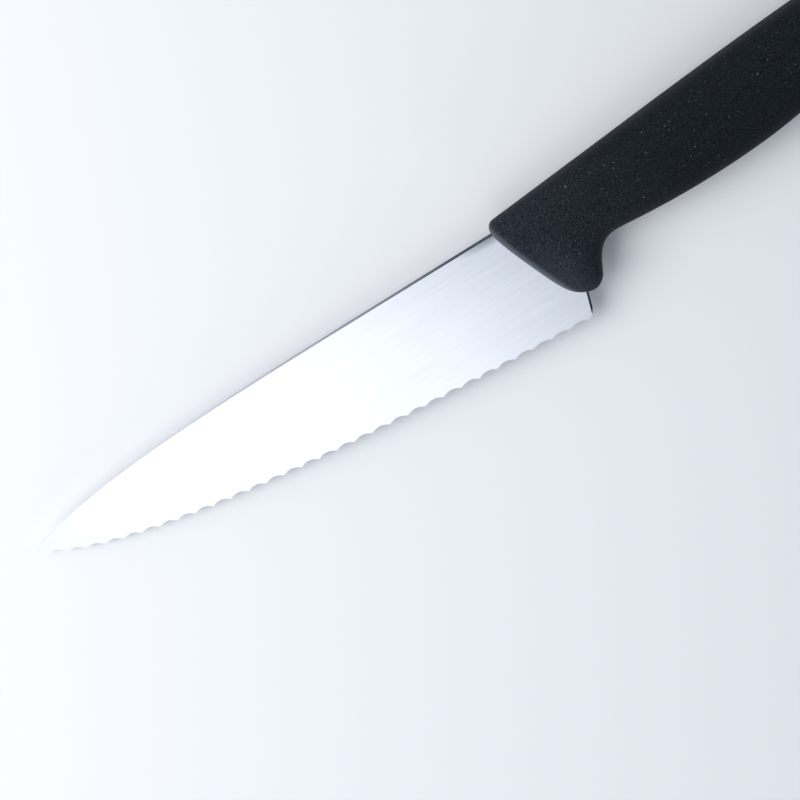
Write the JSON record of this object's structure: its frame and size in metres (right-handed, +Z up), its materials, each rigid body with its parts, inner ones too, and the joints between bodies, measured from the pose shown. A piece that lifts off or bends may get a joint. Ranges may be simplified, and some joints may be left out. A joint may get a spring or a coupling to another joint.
{
  "type": "carving knife",
  "caption": "Kitchen carving knife with a long curved blade, a wavy ground cutting edge and a matte black moulded handle with a finger guard.",
  "frame": {"origin": "middle of the knife's box, on the table that it lies on", "axes": "+X from the tip to the butt, +Y from the cutting edge to the spine, +Z up out of the blade's left face"},
  "size_m": [0.3178, 0.0506, 0.0218],
  "materials": {
    "blade_steel": "satin",
    "handle_plastic": "matte"
  },
  "bodies": {
    "root": {"blade": "blade_steel", "handle": "handle_plastic"}
  },
  "joints": []
}
